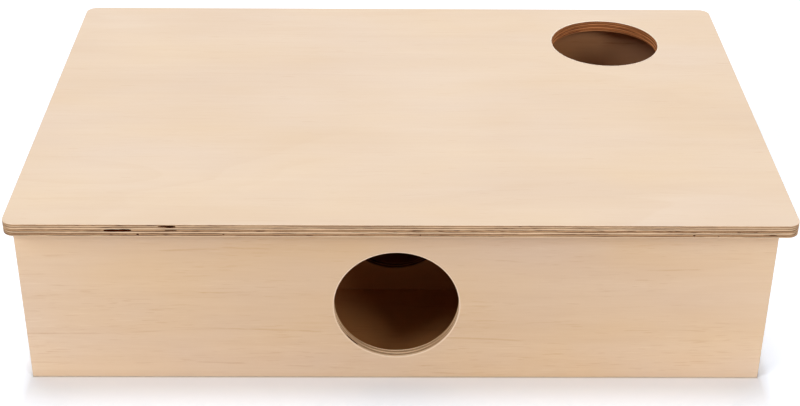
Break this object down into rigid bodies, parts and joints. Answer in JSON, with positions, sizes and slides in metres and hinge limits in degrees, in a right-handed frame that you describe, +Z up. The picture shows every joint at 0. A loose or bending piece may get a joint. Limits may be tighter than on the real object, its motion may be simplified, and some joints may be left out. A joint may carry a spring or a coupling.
{
  "type": "wooden hamster house",
  "caption": "Low plywood small-pet house with a round front entrance, a lift-off lid with a round hole at one corner, and slotted partitions that form a maze of chambers.",
  "frame": {"origin": "on the ground, under the middle of the lid's outline", "axes": "+X to the right of someone who faces the entrance, +Y from the entrance to the back, +Z up"},
  "size_m": [0.4, 0.267, 0.099],
  "materials": {
    "lid_plywood": "smooth sanded birch plywood, unvarnished, with layered edges",
    "wall_plywood": "smooth sanded birch plywood, unvarnished",
    "partition_plywood": "sanded birch plywood, unvarnished",
    "floor_plywood": "thin plywood, unvarnished",
    "block_wood": "bare sawn wood, lightly sanded"
  },
  "bodies": {
    "house": {"front_wall": "wall_plywood", "back_wall": "wall_plywood", "left_wall": "wall_plywood", "right_wall": "wall_plywood", "floor_panel": "floor_plywood", "front_partition": "partition_plywood", "left_partition": "partition_plywood", "right_partition": "partition_plywood", "rear_partition": "partition_plywood"},
    "lid": {"lid_panel": "lid_plywood", "lid_block_front_left": "block_wood", "lid_block_front_right": "block_wood", "lid_block_back_left": "block_wood", "lid_block_back_right": "block_wood"}
  },
  "joints": [
    {"name": "lid_lift", "type": "slide", "parent": "house", "child": "lid", "axis": [0, 0, 1], "range_m": [0, 0.12]}
  ]
}
